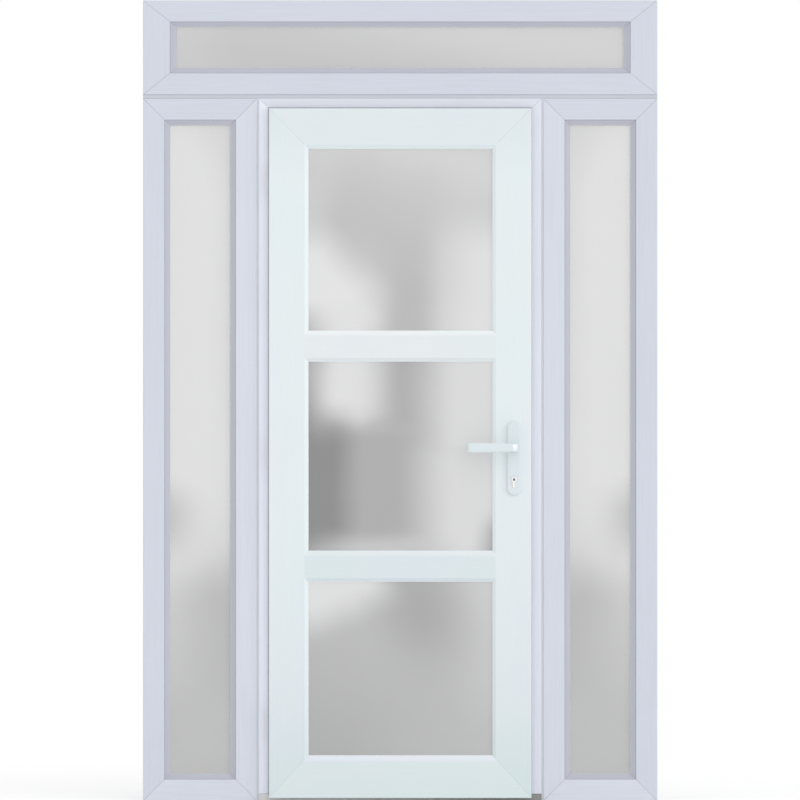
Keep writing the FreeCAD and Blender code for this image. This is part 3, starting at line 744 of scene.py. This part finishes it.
facing_right = (0.0, math.pi / 2, 0.0)
facing_left = (0.0, -math.pi / 2, 0.0)
facing_back = (-math.pi / 2, 0.0, 0.0)
hinge_height = 0.09
hinge_plate = 0.0025
hinge_screw_rise = 0.031
rebate_inset = 0.037
bracket_screw_margin = 0.013
leaf_screw_margin = 0.008
pins_low, pins_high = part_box("hinge_pins")
bracket_face = hinge_jamb_low[0] + rebate_inset + hinge_plate
bracket_screw_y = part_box("hinge_brackets")[1][1] - bracket_screw_margin
hinge_leaf_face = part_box("hinge_leaves")[1][0] - hinge_plate
leaf_screw_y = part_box("hinge_leaves")[1][1] - leaf_screw_margin
lowest_hinge = pins_low[2] + hinge_height / 2
highest_hinge = pins_high[2] - hinge_height / 2
bracket_places = []
hinge_leaf_places = []
for middle in (lowest_hinge, (lowest_hinge + highest_hinge) / 2, highest_hinge):
    for z in (middle - hinge_screw_rise, middle + hinge_screw_rise):
        bracket_places.append((bracket_face, bracket_screw_y, z))
        hinge_leaf_places.append((hinge_leaf_face, leaf_screw_y, z))
screws("hinge_bracket_screws", bracket_places, facing_right, hinge_finish, "frame")
screws("hinge_leaf_screws", hinge_leaf_places, facing_left, hinge_finish, "leaf")


# Lock: a steel faceplate on the leaf's edge, its strike plate on the jamb, and a profile cylinder
# through the stile with a key slot at each end, a black disc as painted shade of the keyway.
lock_finish = plated_steel("lock_satin_steel", screen_colour(206, 208, 211), roughness=0.32)
dress(lock_finish, "lock_faceplate", "strike_plate")
cylinder_finish = plated_steel("cylinder_nickel", screen_colour(246, 248, 249), roughness=0.3)
dress(cylinder_finish, "lock_cylinder")
screw_margin = 0.012
faceplate_low, faceplate_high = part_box("lock_faceplate")
faceplate_middle = (faceplate_low[1] + faceplate_high[1]) / 2
faceplate_places = [
    (faceplate_high[0], faceplate_middle, faceplate_low[2] + screw_margin),
    (faceplate_high[0], faceplate_middle, faceplate_high[2] - screw_margin),
]
screws("faceplate_screws", faceplate_places, facing_right, lock_finish, "leaf")
strike_low, strike_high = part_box("strike_plate")
strike_middle = (strike_low[1] + strike_high[1]) / 2
strike_places = [
    (strike_low[0], strike_middle, strike_low[2] + screw_margin),
    (strike_low[0], strike_middle, strike_high[2] - screw_margin),
]
screws("strike_screws", strike_places, facing_left, lock_finish, "frame")
cylinder_low, cylinder_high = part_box("lock_cylinder")
plug_x = (cylinder_low[0] + cylinder_high[0]) / 2
plug_z = cylinder_high[2] - (cylinder_high[0] - cylinder_low[0]) / 2
plug_radius = 0.0068
plug_depth = 0.0008
slot_half_width = 0.0025
slot_depth = 0.0012
slot_stretch = 0.0016


def turned_disc(radius, depth, face, sense):
    """A bevelled disc of the lock's plug on a face; sense is -1 towards the front."""
    middle = (plug_x, face, plug_z)
    turn = (-sense * math.pi / 2, 0.0, 0.0)
    bpy.ops.object.select_all(action="DESELECT")
    bpy.ops.mesh.primitive_cylinder_add(
        vertices=32, radius=radius, depth=depth, location=middle, rotation=turn
    )
    disc = bpy.context.object
    bpy.ops.object.transform_apply(location=True, rotation=True, scale=True)
    apply_modifier(disc, "BEVEL", width=depth / 4, limit_method="ANGLE")
    return disc


plugs = []
key_slots = []
for face, sense in ((cylinder_low[1], -1), (cylinder_high[1], 1)):
    plugs.append(turned_disc(plug_radius, plug_depth, face, sense))
    key_slot = turned_disc(slot_half_width, slot_depth, face, sense)
    for vertex in key_slot.data.vertices:
        vertex.select = vertex.co.z > plug_z
    for rise in (slot_stretch, -slot_stretch):
        bpy.ops.object.mode_set(mode="EDIT")
        bpy.ops.transform.translate(value=(0.0, 0.0, rise))
        bpy.ops.mesh.select_all(action="INVERT")
        bpy.ops.object.mode_set(mode="OBJECT")
    key_slots.append(key_slot)
joined("lock_plugs", plugs, cylinder_finish, "leaf")
# Painted shade: each key slot is a black disc on the plug's face, standing for the shade in the keyway.
slot_shade_finish = rubber("key_slot_shade_black", screen_colour(26, 27, 29))
joined("key_slots", key_slots, slot_shade_finish, "leaf")


# Lever handles: a long rounded plate and a cranked lever on each face, cast and powder coated white,
# joined by a square spindle. Two screws draw the plates together from the back.
handle_white = screen_colour(222, 232, 236)
handle_finish = moulded("handle_powder_white", handle_white, roughness=0.28, mottle=0.012, coat=1.0)
dress(handle_finish, "front_handle_plate", "back_handle_plate", "front_lever", "back_lever")
dress(hinge_finish, "spindle")
bar_thickness = 0.013
neck_width = 0.020
neck_lap = 0.002
tip_return = 0.012
collar_radius = 0.01175
collar_length = 0.016
collar_ease = 0.0015
shoulder_run = 0.015
shoulder_fall = 0.010
shoulder_ease = 0.0025
tip_bend = 0.010
inner_bend = 0.005
lever_ease = 0.003
eased_angle = math.radians(40.0)
smooth_angle = math.radians(35.0)
on_line = 0.00001


def pick(piece, edges, test):
    """Edits a piece with its edges, or else its vertices, picked if every point of one passes a test."""
    bpy.ops.object.mode_set(mode="EDIT")
    bpy.ops.mesh.select_mode(type="EDGE" if edges else "VERT")
    bpy.ops.mesh.select_all(action="DESELECT")
    bpy.ops.object.mode_set(mode="OBJECT")
    points = piece.data.vertices
    for part in piece.data.edges if edges else points:
        places = [points[index].co for index in part.vertices] if edges else [part.co]
        part.select = all(test(place) for place in places)
    bpy.ops.object.mode_set(mode="EDIT")


def near(value, target):
    """Whether a place lies on a line of the lever's plan."""
    return abs(value - target) < on_line


def lever_handle(node, sense):
    """A cranked lever: its bar bends out of the neck, widens to the tip and turns back to the leaf."""
    low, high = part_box(node)
    front, seat = (low[1], high[1]) if sense < 0 else (high[1], low[1])
    back = front - sense * bar_thickness
    tip_x = low[0] + bar_thickness
    neck_x = high[0] - neck_width
    shoulder_x = high[0] - shoulder_run
    shoulder_y = front - sense * shoulder_fall
    middle = (low[2] + high[2]) / 2
    neck_end = seat + sense * (collar_length - neck_lap)
    bar_foot = ((low[0] + high[0]) / 2, (front + back) / 2, middle - collar_radius)
    bpy.ops.object.select_all(action="DESELECT")
    bpy.ops.mesh.primitive_plane_add(size=1.0, location=bar_foot)
    bar = bpy.context.object
    bar.scale = (high[0] - low[0], bar_thickness, 1.0)
    bpy.ops.object.transform_apply(location=True, rotation=True, scale=True)
    bpy.ops.object.mode_set(mode="EDIT")
    for cut in (tip_x, neck_x, shoulder_x):
        bpy.ops.mesh.select_all(action="SELECT")
        bpy.ops.mesh.bisect(plane_co=(cut, 0.0, 0.0), plane_no=(1.0, 0.0, 0.0))
    pick(bar, True, lambda place: near(place.y, back) and place.x < tip_x + on_line)
    draw_out(0.0, -sense * tip_return, 0.0)
    pick(bar, True, lambda place: near(place.y, back) and place.x > neck_x - on_line)
    draw_out(0.0, neck_end - back, 0.0)
    pick(bar, False, lambda place: near(place.x, high[0]) and near(place.y, front))
    bpy.ops.transform.translate(value=(0.0, shoulder_y - front, 0.0))
    bpy.ops.mesh.select_all(action="SELECT")
    draw_out(0.0, 0.0, 2 * collar_radius)
    bpy.ops.mesh.select_all(action="SELECT")
    bpy.ops.mesh.normals_make_consistent(inside=False)
    bends = (
        (high[0], shoulder_y, shoulder_ease, 5),
        (shoulder_x, front, shoulder_ease, 4),
        (low[0], front, tip_bend, 6),
        (tip_x, back, inner_bend, 4),
        (neck_x, back, inner_bend, 4),
    )
    for x, y, radius, steps in bends:
        pick(bar, True, lambda place: near(place.x, x) and near(place.y, y))
        bpy.ops.mesh.bevel(offset=radius, segments=steps, affect="EDGES")
    pick(bar, False, lambda place: place.x < tip_x + inner_bend + on_line)
    widening = (high[2] - low[2]) / (2 * collar_radius)
    bpy.ops.transform.resize(value=(1.0, 1.0, widening), center_override=(0.0, 0.0, middle))
    bpy.ops.object.mode_set(mode="OBJECT")
    apply_modifier(
        bar, "BEVEL", width=lever_ease, segments=4, limit_method="ANGLE", angle_limit=eased_angle
    )
    collar_middle = (high[0] - collar_radius, seat + sense * collar_length / 2, middle)
    bpy.ops.object.select_all(action="DESELECT")
    bpy.ops.mesh.primitive_cylinder_add(
        vertices=48,
        radius=collar_radius,
        depth=collar_length,
        location=collar_middle,
        rotation=(math.pi / 2, 0.0, 0.0),
    )
    collar = bpy.context.object
    bpy.ops.object.transform_apply(location=True, rotation=True, scale=True)
    apply_modifier(collar, "BEVEL", width=collar_ease, segments=3, limit_method="ANGLE")
    whole = joined(f"{node}_cast", [bar, collar], handle_finish, "lever")
    bpy.ops.object.shade_smooth_by_angle(angle=smooth_angle)
    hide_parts(node)


lever_handle("front_lever", -1)
lever_handle("back_lever", 1)
back_plate_low, back_plate_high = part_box("back_handle_plate")
plate_middle = (back_plate_low[0] + back_plate_high[0]) / 2
plate_places = [
    (plate_middle, back_plate_high[1], back_plate_low[2] + screw_margin),
    (plate_middle, back_plate_high[1], back_plate_high[2] - screw_margin),
]
screws("handle_plate_screws", plate_places, facing_back, lock_finish, "leaf")


# Stage: a white floor that keeps the part's shadow, an even white surround, a broad soft lamp in
# front on the right and a narrow one low on the right, as the bright bevels and lever end show.
white = (1.0, 1.0, 1.0, 1.0)
floor_size = 16.0
floor_white = (0.95, 0.95, 0.95, 1.0)
floor_lift = 0.13
bpy.ops.object.select_all(action="DESELECT")
bpy.ops.mesh.primitive_plane_add(size=floor_size)
floor = bpy.context.object
floor.name = "floor"
floor_finish = bpy.data.materials.new("floor_white")
floor_finish.use_nodes = True
floor_tree = floor_finish.node_tree
floor_tree.nodes.remove(floor_tree.nodes["Principled BSDF"])
seen = put(floor_tree, "ShaderNodeLightPath", {}).outputs["Is Camera Ray"]
lift = reckon(floor_tree, "MULTIPLY", seen, floor_lift)
matt = put(floor_tree, "ShaderNodeBsdfDiffuse", {"Color": floor_white}).outputs[0]
glow = put(floor_tree, "ShaderNodeEmission", {"Color": white, "Strength": lift}).outputs[0]
both = put(floor_tree, "ShaderNodeAddShader", {0: matt, 1: glow}).outputs[0]
wire(floor_tree, floor_tree.nodes["Material Output"], {"Surface": both})
floor.data.materials.append(floor_finish)

surround_strength = 0.88
surround = bpy.data.worlds.new("white_surround")
bpy.context.scene.world = surround
surround.use_nodes = True
sky = surround.node_tree
ambient = sky.nodes["Background"]
wire(sky, ambient, {"Color": white, "Strength": surround_strength})
backdrop = put(sky, "ShaderNodeBackground", {"Color": white, "Strength": 1.0}).outputs[0]
path = put(sky, "ShaderNodeLightPath", {}).outputs
seen_or_mirrored = reckon(sky, "MAXIMUM", path["Is Camera Ray"], path["Is Glossy Ray"])
shown = reckon(sky, "MAXIMUM", seen_or_mirrored, path["Is Transmission Ray"])
layers = {0: shown, 1: ambient.outputs[0], 2: backdrop}
surround_mix = put(sky, "ShaderNodeMixShader", layers).outputs[0]
wire(sky, sky.nodes["World Output"], {"Surface": surround_mix})
lamp_place = (4.0, -4.0, 4.0)


def lamp(yaw, pitch, energy, breadth):
    """A far lamp: yaw to the right of the front, pitch down from overhead, and breadth, in degrees."""
    turn = (math.radians(pitch), 0.0, math.radians(yaw))
    bpy.ops.object.light_add(type="SUN", location=lamp_place, rotation=turn)
    bpy.context.object.data.energy = energy
    bpy.context.object.data.angle = math.radians(breadth)


lamp(yaw=30.0, pitch=60.0, energy=0.29, breadth=50.0)
lamp(yaw=64.0, pitch=87.0, energy=0.29, breadth=13.0)

camera_distance = 30.0
picture_height = 2.314
picture_middle = (-0.0005, 1.1597)
camera_place = (picture_middle[0], frame_front - camera_distance, picture_middle[1])
bpy.ops.object.camera_add(location=camera_place, rotation=(math.pi / 2, 0.0, 0.0))
camera = bpy.context.object
camera.data.sensor_width = 36.0
camera.data.lens = camera.data.sensor_width * camera_distance / picture_height
camera.data.clip_end = 100.0
scene = bpy.context.scene
scene.camera = camera
scene.view_settings.view_transform = "Standard"
